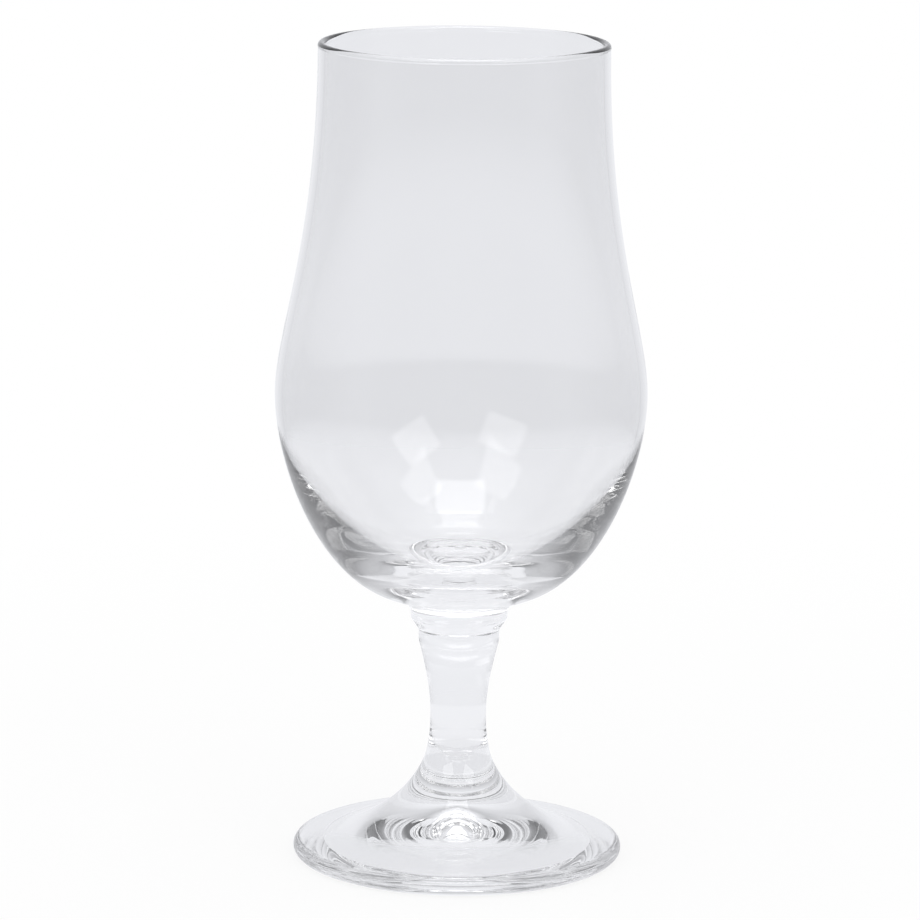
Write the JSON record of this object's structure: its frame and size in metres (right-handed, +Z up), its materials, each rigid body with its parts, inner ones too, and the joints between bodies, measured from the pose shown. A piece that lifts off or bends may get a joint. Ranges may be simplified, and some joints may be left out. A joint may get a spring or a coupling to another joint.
{
  "type": "tulip beer glass",
  "caption": "Stemmed tulip beer glass of clear glass, a waisted bowl with a round belly on a short stem and a wide round foot, for pouring and drinking beer.",
  "frame": {"origin": "centre of the foot's resting ring, on the table", "axes": "+Z up along the glass's axis of revolution, towards the mouth; X and Y are free, the glass is round"},
  "size_m": [0.0788, 0.0788, 0.175],
  "materials": {
    "glass": "clear, fire-polished"
  },
  "bodies": {
    "root": {"bowl": "glass", "stem": "glass", "foot": "glass"}
  },
  "joints": []
}
